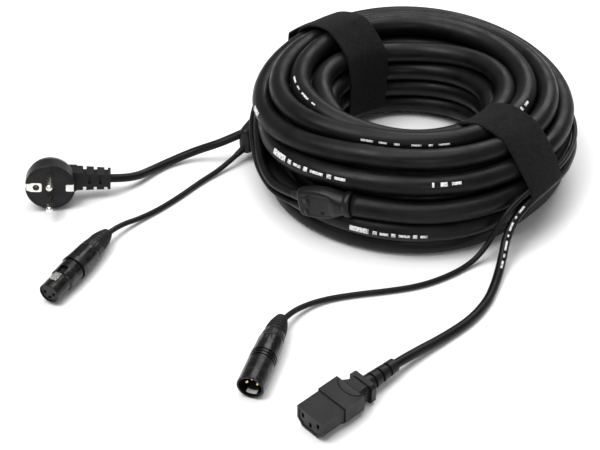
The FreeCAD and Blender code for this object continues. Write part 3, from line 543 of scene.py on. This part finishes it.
def soften(node, width):
    """Round the moulded edges of a part."""
    rounding = NODES[node].modifiers.new("rounding", "BEVEL")
    rounding.width = width * MM
    rounding.segments = 3
    rounding.limit_method = "ANGLE"
    rounding.angle_limit = math.radians(28)
    rounding.use_clamp_overlap = False


finger_recess = make_finger_recess()
soften("coupler_housing", 0.45)
soften("coupler_strain_relief", 0.3)
soften("plug_strain_relief", 0.35)

# ---------------------------------------------------------------- splitter boots

# where the boot starts, the point towards which it lies, and its tails
BOOTS = {
    "source_boot": (COIL_END, (-135.0, -8.0, 20.0), ("source_mains_tail", "source_audio_tail")),
    "speaker_boot": (COIL_START, (-86.5, -100.5, 31.5), ("speaker_mains_tail", "speaker_audio_tail")),
}
# how long the neck around a tail is, and how far inside the boot it starts, in millimetres
NECK_LENGTH, NECK_INSET = 17, 5

# distance along the boot, half thickness and half height in millimetres, and squareness
BOOT_SECTIONS = [
    (-0.6, 8.3, 8.3, 2.0), (-0.5, 9.3, 9.3, 2.0), (0.0, 9.9, 9.9, 2.0), (3.9, 9.9, 9.9, 2.0),
    (4.4, 9.5, 9.5, 2.0), (4.6, 8.9, 8.9, 2.0), (5.2, 8.8, 8.9, 2.0), (8.0, 8.8, 9.3, 2.2),
    (12.0, 8.5, 10.4, 2.5), (17.0, 7.7, 12.0, 2.9), (22.0, 6.9, 12.9, 3.2), (28.0, 6.3, 13.1, 3.3),
    (34.0, 5.9, 12.6, 3.3), (38.5, 5.6, 12.0, 3.2), (41.0, 5.2, 11.4, 3.0), (42.2, 4.4, 10.5, 2.8),
    (42.6, 3.0, 9.0, 2.6),
]


def section_at(x):
    """The boot's half thickness, half height and squareness at a distance along it."""
    table = np.array(BOOT_SECTIONS)
    return [float(np.interp(x, table[:, 0], table[:, c])) for c in (1, 2, 3)]


def boot_mesh(name, start, end, sides=112):
    """A round collar that widens into a flat paddle with a raised rim and one moulding dimple."""
    ahead = (Vector(end) - Vector(start)).normalized()
    side = Vector((0, 0, 1)).cross(ahead).normalized()
    up = ahead.cross(side)
    places = [s[0] for s in BOOT_SECTIONS[:7]] + list(np.linspace(6.0, 41.0, 60)) + [41.6, 42.2, 42.5, 42.6]
    verts = []
    for x in places:
        thick, height, square = section_at(x)
        flat = eased((x - 11) / 7) * eased((41.5 - x) / 4)
        for j in range(sides):
            angle = TAU * j / sides
            cosine, sine = math.cos(angle), math.sin(angle)
            y = math.copysign(abs(cosine) ** (2 / square), cosine) * thick
            z = math.copysign(abs(sine) ** (2 / square), sine) * height
            inside = 1 - eased((abs(z) / height - 0.62) / 0.16)
            y -= math.copysign(0.85 * flat * inside * eased(abs(y) / thick * 2 - 0.8), y)
            dimple = math.hypot(x - 22.5, z + 5.5)
            y *= 1 - 0.2 * eased(1.6 - dimple / 1.5)
            ridge = 0.16 * flat * math.exp(-((abs(z) - height * 0.9) / 0.9) ** 2)
            y += math.copysign(ridge, y)
            verts.append((Vector(start) + ahead * x + side * y + up * z) * MM)
    count = len(places)
    return mesh_object(name, verts, ring_faces(count, sides) + cap_faces(count, sides))


def outlet(name, tail_line, radius, sides=36):
    """The tapered moulded neck around a tail where it leaves the boot."""
    step = np.linalg.norm(tail_line[1] - tail_line[0])
    count = max(6, int(NECK_LENGTH * MM / step))
    inside = tail_line[0] - (tail_line[1] - tail_line[0]) / step * NECK_INSET * MM
    co = evenly(np.concatenate([[inside], tail_line[:count]]), 0.8 * MM)[0]
    side, up = frames(co)
    verts = []
    for i in range(len(co)):
        share = i / (len(co) - 1)
        grow = radius + (0.25 + 2.3 * (1 - share) ** 1.5) * MM
        if i == len(co) - 1:
            grow = radius - 0.1 * MM
        for j in range(sides):
            angle = TAU * j / sides
            verts.append(co[i] + grow * (math.cos(angle) * side[i] + math.sin(angle) * up[i]))
    return mesh_object(name, verts, ring_faces(len(co), sides) + cap_faces(len(co), sides)[:1])


def make_boots():
    made = []
    for label, (start, end, tails) in BOOTS.items():
        body = boot_mesh(label + "_moulding", start, end)
        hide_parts(label)
        made.append(body)
        for tail in tails:
            radius = TAIL_ROUTES[tail][0] / 2 * MM
            made.append(outlet(tail + "_outlet", cords[tail][1], radius))
    for piece in made:
        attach(piece, "cable")
    return made


boots = make_boots()

# ---------------------------------------------------------------- straps

STRAP_WIDTH = 38.0
STRAP_THICK = 1.9
STRAP_COLUMNS = 17
STRAP_STEPS = 200
STRAP_GAP = 0.5
# steps on each side over which a band is smoothed, and the spread of their weights
SMOOTH_REACH, SMOOTH_SPREAD = 12, 4.5
# azimuth, angle around the bundle at which the band starts, share of the way round that it laps over
# itself, how far its free end strays sideways and how far its top stands off, in millimetres
STRAPS = {
    "strap_left": (126.0, -25.0, 0.17, 7.0, 4.5),
    "strap_right": (-45.0, 200.0, 0.2, 1.5, 0.8),
}
# distance from the coil's axis and height, in millimetres
BUNDLE_CENTRE = (95.0, 38.0)


def crossings(line, azimuth, offset):
    """Where a line passes a strap's plane on its side of the coil: (distance out, height) in millimetres."""
    out = np.array((math.cos(azimuth), math.sin(azimuth), 0))
    across = np.array((-math.sin(azimuth), math.cos(azimuth), 0))
    u = line @ across / MM - offset
    found = []
    for i in np.nonzero(u[:-1] * u[1:] <= 0)[0]:
        share = u[i] / (u[i] - u[i + 1]) if u[i] != u[i + 1] else 0
        point = line[i] + (line[i + 1] - line[i]) * share
        if point @ out > 0:
            found.append((point @ out / MM, point[2] / MM))
    return found


def band_reach(azimuth, offset, angles, gap):
    """How far the band lies from the bundle's middle at each angle: over its strands, tight as a hull."""
    discs = []
    for obj, line, _ in cords.values():
        radius = (JACKET if obj.name == "coiled_cable" else
                  MAINS if "mains" in obj.name else AUDIO) / 2 + gap
        discs += [(x - BUNDLE_CENTRE[0], z - BUNDLE_CENTRE[1], radius)
                  for x, z in crossings(line, azimuth, offset)]
    discs = np.array(discs)
    # the hull's support in every direction, then the distance out to its nearest bounding line
    turn = np.linspace(0, TAU, 720, endpoint=False)
    normals = np.stack([np.cos(turn), np.sin(turn)], axis=1)
    support = (normals @ discs[:, :2].T + discs[:, 2]).max(axis=1)
    rays = np.stack([np.cos(angles), np.sin(angles)], axis=1)
    lean = rays @ normals.T
    reach = np.where(lean > 0.02, support[None, :] / np.maximum(lean, 0.02), 1e9).min(axis=1)
    return reach


def make_strap(label, azimuth_degrees, start_degrees, lap, stray, puff):
    azimuth = math.radians(azimuth_degrees)
    out = Vector((math.cos(azimuth), math.sin(azimuth), 0))
    across = Vector((-math.sin(azimuth), math.cos(azimuth), 0))
    shares = np.linspace(0, 1 + lap, STRAP_STEPS)
    angles = math.radians(start_degrees) + TAU * shares
    columns = np.linspace(-0.5, 0.5, STRAP_COLUMNS)
    grid = []
    for column in columns:
        reach = band_reach(azimuth, column * STRAP_WIDTH, angles, STRAP_GAP)
        weights = np.exp(-0.5 * (np.arange(-SMOOTH_REACH, SMOOTH_REACH + 1) / SMOOTH_SPREAD) ** 2)
        padded = np.pad(reach, SMOOTH_REACH, mode="reflect")
        smooth = np.convolve(padded, weights / weights.sum(), mode="valid")
        smooth = np.maximum(smooth, reach) * 0.5 + smooth * 0.5 + puff * np.maximum(0, np.sin(angles))
        row = []
        for share, angle, base in zip(shares, angles, smooth):
            lift = (STRAP_THICK + 0.15) * eased((share - 1 + 0.03) / 0.05)
            free = eased((share - 1 - lap + 0.035) / 0.035)
            radius = base + lift + 1.6 * free
            shift = stray * eased((share - 1 + 0.02) / lap)
            x = BUNDLE_CENTRE[0] + radius * math.cos(angle)
            z = max(BUNDLE_CENTRE[1] + radius * math.sin(angle), STRAP_THICK + 0.1)
            sideways = column * STRAP_WIDTH + shift
            row.append(out * (x * MM) + across * (sideways * MM) + Vector((0, 0, z * MM)))
        grid.append(row)
    faces = []
    for i in range(STRAP_COLUMNS - 1):
        for j in range(STRAP_STEPS - 1):
            a = i * STRAP_STEPS + j
            faces.append((a, a + 1, a + STRAP_STEPS + 1, a + STRAP_STEPS))
    obj = mesh_object(label + "_band", [p for row in grid for p in row], faces)
    middle = grid[STRAP_COLUMNS // 2]
    runs = [0.0]
    for near, far in zip(middle, middle[1:]):
        runs.append(runs[-1] + (far - near).length)
    layer = obj.data.uv_layers.new(name="along")
    uv = []
    for loop in obj.data.loops:
        column, step = divmod(loop.vertex_index, STRAP_STEPS)
        uv += [runs[step], columns[column] * STRAP_WIDTH * MM]
    layer.data.foreach_set("uv", uv)
    thicken = obj.modifiers.new("thickness", "SOLIDIFY")
    thicken.thickness = STRAP_THICK * MM
    thicken.offset = 1.0
    rim = obj.modifiers.new("edge", "BEVEL")
    rim.width = 0.45 * MM
    rim.segments = 2
    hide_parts(label)
    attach(obj, "cable")
    print("STRAP", label, round(runs[-1], 4))
    return obj


straps = [make_strap(label, *facts) for label, facts in STRAPS.items()]

# ---------------------------------------------------------------- materials


class Nodes:
    """Short calls for building one material's nodes."""

    def __init__(self, name, roughness, metallic=0.0, **fixed):
        self.mat = bpy.data.materials.new(name)
        self.mat.use_nodes = True
        self.tree = self.mat.node_tree
        self.shader = self.tree.nodes["Principled BSDF"]
        self.shader.inputs["Roughness"].default_value = roughness
        self.shader.inputs["Metallic"].default_value = metallic
        for socket, value in fixed.items():
            self.shader.inputs[socket.replace("_", " ")].default_value = value

    def add(self, kind, **settings):
        node = self.tree.nodes.new(kind)
        for key, value in settings.items():
            if key in node.inputs:
                node.inputs[key].default_value = value
            else:
                setattr(node, key, value)
        return node

    def join(self, source, target):
        self.tree.links.new(source, target)

    def coordinates(self, uv=False):
        if uv:
            return self.add("ShaderNodeUVMap", uv_map="along").outputs["UV"]
        return self.add("ShaderNodeTexCoord").outputs["Object"]

    def noise(self, place, scale, detail=4.0, stretch=(1, 1, 1)):
        mapping = self.add("ShaderNodeMapping")
        mapping.inputs["Scale"].default_value = stretch
        self.join(place, mapping.inputs["Vector"])
        node = self.add("ShaderNodeTexNoise", Scale=scale, Detail=detail)
        self.join(mapping.outputs["Vector"], node.inputs["Vector"])
        return node.outputs["Fac"]

    def ramp(self, factor, low, high, start=0.35, end=0.65):
        node = self.add("ShaderNodeValToRGB")
        first, last = node.color_ramp.elements
        first.position, last.position = start, end
        first.color = (*low, 1) if isinstance(low, tuple) else (low, low, low, 1)
        last.color = (*high, 1) if isinstance(high, tuple) else (high, high, high, 1)
        self.join(factor, node.inputs["Fac"])
        return node.outputs["Color"]

    def bump(self, height, strength, distance, normal=None):
        node = self.add("ShaderNodeBump", Strength=strength, Distance=distance)
        self.join(height, node.inputs["Height"])
        if normal:
            self.join(normal, node.inputs["Normal"])
        return node.outputs["Normal"]

    def finish(self, colour=None, rough=None, normal=None):
        if colour:
            self.join(colour, self.shader.inputs["Base Color"])
        if rough:
            self.join(rough, self.shader.inputs["Roughness"])
        if normal:
            self.join(normal, self.shader.inputs["Normal"])
        return self.mat


def jacket_material(name, lay, lay_depth):
    """Soft black PVC: the twisted cores show faintly, with handling scuffs and dust."""
    m = Nodes(name, 0.4, Specular_IOR_Level=0.18)
    uv = m.coordinates(uv=True)
    place = m.coordinates()
    colour = m.ramp(m.noise(place, 45, 6), (0.0025, 0.0025, 0.0028), (0.006, 0.006, 0.0064))
    rough = m.ramp(m.noise(place, 70, 8), 0.33, 0.5)
    mapping = m.add("ShaderNodeMapping")
    mapping.inputs["Scale"].default_value = (1 / lay, 2, 1)
    m.join(uv, mapping.inputs["Vector"])
    twist = m.add("ShaderNodeTexWave", wave_type="BANDS", bands_direction="DIAGONAL", Scale=0.32,
                  Distortion=0.6, Detail=1.0)
    m.join(mapping.outputs["Vector"], twist.inputs["Vector"])
    normal = m.bump(twist.outputs["Fac"], 0.35, lay_depth)
    normal = m.bump(m.noise(place, 900, 3), 0.25, 0.0001, normal)
    return m.finish(colour, rough, normal)


def strap_material():
    """Napped hook-and-loop tape: a fine ribbed weave with loose fibres, matt black."""
    m = Nodes("strap_tape", 0.92, Specular_IOR_Level=0.08, Sheen_Weight=0.03, Sheen_Roughness=0.6)
    uv = m.coordinates(uv=True)
    place = m.coordinates()
    waves = []
    for direction, scale in (("X", 290.0), ("Y", 240.0)):
        wave = m.add("ShaderNodeTexWave", wave_type="BANDS", bands_direction=direction, Scale=scale,
                     Distortion=1.5, Detail=2.0)
        wave.inputs["Detail Scale"].default_value = 2.0
        m.join(uv, wave.inputs["Vector"])
        waves.append(wave.outputs["Fac"])
    weave = m.add("ShaderNodeMath", operation="MULTIPLY")
    m.join(waves[0], weave.inputs[0])
    m.join(waves[1], weave.inputs[1])
    colour = m.ramp(m.noise(place, 350, 8), (0.004, 0.004, 0.0043), (0.010, 0.010, 0.0105), 0.3, 0.75)
    normal = m.bump(weave.outputs["Value"], 0.45, 0.0002)
    normal = m.bump(m.noise(place, 1400, 6), 0.4, 0.00015, normal)
    return m.finish(colour, m.ramp(m.noise(place, 120, 5), 0.85, 0.98), normal)


def moulded_material(name, tint, low, high, grain, depth):
    """Spark-eroded moulded plastic or rubber with a fine even grain and a few rubbed patches."""
    m = Nodes(name, (low + high) / 2, Specular_IOR_Level=0.22)
    place = m.coordinates()
    dark = tuple(0.75 * c for c in tint)
    light = tuple(1.35 * c for c in tint)
    colour = m.ramp(m.noise(place, 60, 6), dark, light)
    rough = m.ramp(m.noise(place, 95, 7), low, high)
    normal = m.bump(m.noise(place, grain, 4), 0.4, depth)
    normal = m.bump(m.noise(place, 30, 3), 0.2, 0.0004, normal)
    return m.finish(colour, rough, normal)


def coated_metal():
    """Die-cast shell with a satin black coating, faintly brushed and rubbed lighter in places."""
    m = Nodes("shell_coating", 0.26, 0.8)
    place = m.coordinates()
    wear = m.noise(place, 160, 8)
    colour = m.ramp(wear, (0.018, 0.018, 0.019), (0.06, 0.059, 0.059), 0.45, 0.8)
    rough = m.ramp(m.noise(place, 240, 6, (1, 1, 6)), 0.18, 0.34)
    return m.finish(colour, rough, m.bump(m.noise(place, 1200, 3), 0.2, 0.00006))


def plated_metal(name, tint, low, high):
    """Polished plating with wipe marks and a slight tarnish."""
    m = Nodes(name, (low + high) / 2, 1.0)
    place = m.coordinates()
    tarnish = tuple(0.8 * c for c in tint)
    colour = m.ramp(m.noise(place, 210, 6), tarnish, tint, 0.3, 0.6)
    rough = m.ramp(m.noise(place, 500, 8, (1, 5, 1)), low, high)
    return m.finish(colour, rough, m.bump(m.noise(place, 900, 5, (1, 6, 1)), 0.15, 0.00005))


def ahead_of(m, place, connector, x, spread):
    """0 behind the plane at x millimetres in a connector's frame and 1 ahead of it, eased over the spread."""
    distance = m.add("ShaderNodeVectorMath", operation="SUBTRACT")
    distance.inputs[1].default_value = connector @ Vector((x * MM, 0, 0))
    m.join(place, distance.inputs[0])
    forward = m.add("ShaderNodeVectorMath", operation="DOT_PRODUCT")
    forward.inputs[1].default_value = connector.to_3x3() @ Vector((1, 0, 0))
    m.join(distance.outputs["Vector"], forward.inputs[0])
    share = m.add("ShaderNodeMapRange")
    share.inputs["From Min"].default_value = -spread * MM
    share.inputs["From Max"].default_value = spread * MM
    m.join(forward.outputs["Value"], share.inputs["Value"])
    return share.outputs["Result"]


def earth_tab_material():
    """Tinned strip, painted near-white at its front end as a painted highlight, and near black behind it."""
    m = Nodes("tinned_strip_painted_highlight", 0.5, 0.2)
    place = m.coordinates()
    # painted highlight: near-white ahead of the mouth's lip, near black further in
    colour = m.ramp(ahead_of(m, place, MALE, -5.6, 0.8), (0.03, 0.03, 0.028), (0.95, 0.94, 0.91), 0.2, 0.8)
    rough = m.ramp(m.noise(place, 500, 5), 0.38, 0.55)
    return m.finish(colour, rough, m.bump(m.noise(place, 900, 4), 0.15, 0.00005))


def latch_material():
    """Bright plated hook, worn by mating, behind which the push tab keeps its dark finish."""
    m = Nodes("latch_steel", 0.25, 1.0)
    place = m.coordinates()
    colour = m.ramp(ahead_of(m, place, FEMALE, -15.0, 1.0), (0.05, 0.05, 0.05), (0.86, 0.84, 0.79), 0.2, 0.8)
    rough = m.ramp(m.noise(place, 500, 8), 0.16, 0.34)
    return m.finish(colour, rough, m.bump(m.noise(place, 900, 5, (1, 6, 1)), 0.15, 0.00005))


def print_material():
    """White ink rubbed thin in places."""
    m = Nodes("jacket_print", 0.6)
    place = m.coordinates()
    colour = m.ramp(m.noise(place, 700, 6), (0.2, 0.2, 0.2), (0.74, 0.74, 0.73), 0.34, 0.52)
    return m.finish(colour, m.ramp(m.noise(place, 300, 4), 0.5, 0.7))


MATERIALS = {
    "jacket": jacket_material("jacket_pvc", 0.11, 0.0005),
    "strap": strap_material(),
    "boot": moulded_material("boot_rubber", (0.007, 0.007, 0.0074), 0.3, 0.44, 900, 0.0001),
    "moulding": moulded_material("moulded_pvc", (0.007, 0.007, 0.0074), 0.34, 0.5, 1300, 0.00012),
    "insert": moulded_material("insert_plastic", (0.009, 0.009, 0.009), 0.3, 0.45, 1000, 0.00005),
    "sleeve": moulded_material("sleeve_rubber", (0.012, 0.012, 0.012), 0.36, 0.5, 1500, 0.0001),
    "shell": coated_metal(),
    "nickel": plated_metal("bright_nickel", (0.86, 0.84, 0.79), 0.14, 0.3),
    "spring_steel": plated_metal("spring_wire", (0.55, 0.55, 0.56), 0.25, 0.4),
    "brass": plated_metal("gilt_contact", (0.95, 0.78, 0.45), 0.16, 0.3),
}
# gold contact darkened as painted shade, standing for the shade deep inside the recessed socket holes
SHADED_CONTACT = plated_metal("contact_painted_hole_shade", (0.16, 0.12, 0.07), 0.35, 0.5)
TAIL_JACKET = jacket_material("tail_pvc", 0.05, 0.00025)
SLOT_OF = {
    "jacket": ("hybrid_cable_coil", "_tail"), "strap": ("strap_",), "boot": ("_boot",),
    "moulding": ("plug_housing", "plug_strain", "coupler_housing", "coupler_strain"),
    "insert": ("_insert", "coupler_contact_carrier", "_chuck", "_nut"), "sleeve": ("_sleeve",),
    "shell": ("_shell",), "spring_steel": ("_latch_spring",),
    "nickel": ("plug_line_pin", "plug_neutral_pin", "plug_earth", "_latch", "_earth_tab"),
    "brass": ("_line_contact", "_neutral_contact", "_earth_contact", "_socket_", "_pin_"),
}


def slot_of(node):
    for slot, marks in SLOT_OF.items():
        if any(mark in node for mark in marks):
            return slot
    raise ValueError(node)


def paint(obj, finish):
    obj.data.materials.clear()
    obj.data.materials.append(finish)


for name, node in NODES.items():
    paint(node, MATERIALS[slot_of(name)])
    # the female sockets and the coupler's contacts get the contact darkened with painted shade
    if "_socket_" in name or name.startswith("coupler_") and name.endswith("_contact"):
        paint(node, SHADED_CONTACT)
paint(NODES["xlr_female_latch"], latch_material())
paint(NODES["xlr_male_earth_tab"], earth_tab_material())
for name, (obj, _, _) in cords.items():
    paint(obj, MATERIALS["jacket"] if name == "coiled_cable" else TAIL_JACKET)
for obj in boots:
    paint(obj, MATERIALS["boot"])
paint(earth_plates, MATERIALS["nickel"])
paint(finger_recess, MATERIALS["sleeve"])
for obj in straps:
    paint(obj, MATERIALS["strap"])
for slot, pieces in turned_pieces.items():
    for obj in pieces:
        paint(obj, MATERIALS[slot])

# ---------------------------------------------------------------- bars printed on the jacket

# in millimetres: how far the ink stands off the jacket, and its thickness
INK_LIFT, INK_THICK = 0.07, 0.05
BAR_ROWS = 7
# turn of the winding, azimuth at which the group starts, angle around the strand above its outer side
# in degrees, and the plain bars: (distance along, length, height), in millimetres
PRINTS = [
    (0, 209.0, 24, [(0, 16, 4.6), (19, 3.6, 3.4), (25, 7.5, 2.2), (35, 3.6, 3.4),
                    (41, 11, 2.2), (55, 3.6, 3.4), (61, 8.5, 2.2)]),
    (1, 273.5, 40, [(0, 1.6, 3.6), (6, 5, 3.2), (14, 7, 2.2)]),
    (16, 247.0, 4, [(0, 14, 4.4), (17, 3, 3.2), (22, 6, 2.2), (30, 3, 3.2),
                    (35, 8, 2.2), (45, 3, 3.2), (50, 5, 2.2)]),
    (2, 241.0, 20, [(0, 9, 1.7), (13, 6, 1.4), (24, 4, 1.7), (36, 7, 1.4),
                    (48, 3, 1.7), (55, 8, 1.4)]),
    (3, 181.0, 50, [(0, 8, 1.6), (12, 5, 1.2), (21, 9, 1.6), (34, 4, 1.2)]),
    (1, 187.0, 20, [(0, 12, 3.8)]),
    (3, -31.0, 52, [(0, 2.5, 3.2), (6, 6, 2.0)]),
    (2, 41.0, 30, [(0, 7, 2.4)]),
]


def strand_index(co, turn, azimuth):
    """Where along the coil's line the strand of a turn passes an azimuth."""
    angle = np.unwrap(np.arctan2(co[:, 1], co[:, 0]))
    angle += TAU * round((math.radians(FIRST_AZIMUTH) - angle[0]) / TAU)
    turns = (np.degrees(angle) + 90) / 360
    wanted = turn + ((azimuth + 90) % 360) / 360
    return float(np.interp(wanted, turns, np.arange(len(co))))


# along the speaker end's mains tail: distance from the boot, angle around, and bars as above
TAIL_PRINT = (650.0, 112, [(0, 6, 1.6), (9, 2, 1.4), (14, 7, 1.6), (24, 2, 1.4),
                           (29, 8, 1.6), (40, 3, 1.4), (46, 7, 1.6)])


def add_bar(verts, faces, co, side, up, start, about, bar, radius):
    """One printed bar, lying just above the jacket."""
    distance, length, height = bar
    spacing = np.linalg.norm(co[1] - co[0]) / MM
    columns = max(3, round(length / 1.5) + 1)
    first = len(verts)
    reach = (radius + INK_LIFT) * MM
    for i in range(columns):
        share = i / (columns - 1)
        index = start + (distance + length * share) / spacing
        near = int(index)
        part = index - near
        centre = co[near] * (1 - part) + co[near + 1] * part
        outward = side[near] * (1 - part) + side[near + 1] * part
        upward = up[near] * (1 - part) + up[near + 1] * part
        for j in range(BAR_ROWS):
            angle = math.radians(about) + (j / (BAR_ROWS - 1) - 0.5) * height / radius
            verts.append(centre + reach * (math.cos(angle) * outward + math.sin(angle) * upward))
    faces.extend(patch_faces(columns, BAR_ROWS, first))


def make_print():
    co = cords["coiled_cable"][1]
    side, up = frames(co)
    verts, faces = [], []
    for turn, azimuth, about, bars in PRINTS:
        start = strand_index(co, turn, azimuth)
        for bar in bars:
            add_bar(verts, faces, co, side, up, start, about, bar, JACKET / 2)
    co = cords["speaker_mains_tail"][1]
    side, up = frames(co)
    distance, about, bars = TAIL_PRINT
    start = distance * MM / np.linalg.norm(co[1] - co[0])
    for bar in bars:
        add_bar(verts, faces, co, side, up, start, about, bar, MAINS / 2)
    obj = mesh_object("jacket_marks", verts, faces)
    solidified(obj, INK_THICK)
    paint(obj, print_material())
    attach(obj, "cable")


make_print()

# ---------------------------------------------------------------- names of the carried parts, gathered in a list that nothing uses


def declare_cords():
    carried = list(NODES) + [piece.name for made in turned_pieces.values() for piece in made]
    carried += [earth_plates.name, finger_recess.name]


declare_cords()

# ---------------------------------------------------------------- stage

# name, place, size and power
LAMPS = [
    ("key", (-0.9, -0.5, 1.7), 1.1, 26),
    ("back", (0.6, 1.3, 1.4), 1.2, 18),
    ("front", (0.25, -1.7, 0.8), 0.7, 4),
    ("overhead", (0.0, 0.1, 2.1), 1.6, 24),
]
LAMP_AIM = (-0.05, -0.05, 0)
WORLD_STRENGTH = 0.28


def make_stage():
    bpy.ops.mesh.primitive_plane_add(size=6, location=(0, 0, -0.0002))
    floor = bpy.context.object
    floor.name = "floor"
    surface = Nodes("floor", 0.75)
    shade = surface.ramp(surface.noise(surface.coordinates(), 3, 2), 0.86, 0.9)
    floor.data.materials.append(surface.finish(shade))
    world = bpy.data.worlds.new("world")
    bpy.context.scene.world = world
    world.use_nodes = True
    background = world.node_tree.nodes["Background"]
    background.inputs["Color"].default_value = (1, 1, 1, 1)
    background.inputs["Strength"].default_value = WORLD_STRENGTH
    bpy.context.scene.view_settings.view_transform = "Standard"
    for name, place, size, power in LAMPS:
        lamp = bpy.data.lights.new(name, "AREA")
        lamp.size = size
        lamp.energy = power
        obj = add_object(name, lamp)
        obj.location = place
        obj.rotation_euler = (Vector(LAMP_AIM) - Vector(place)).to_track_quat("-Z", "Y").to_euler()


make_stage()
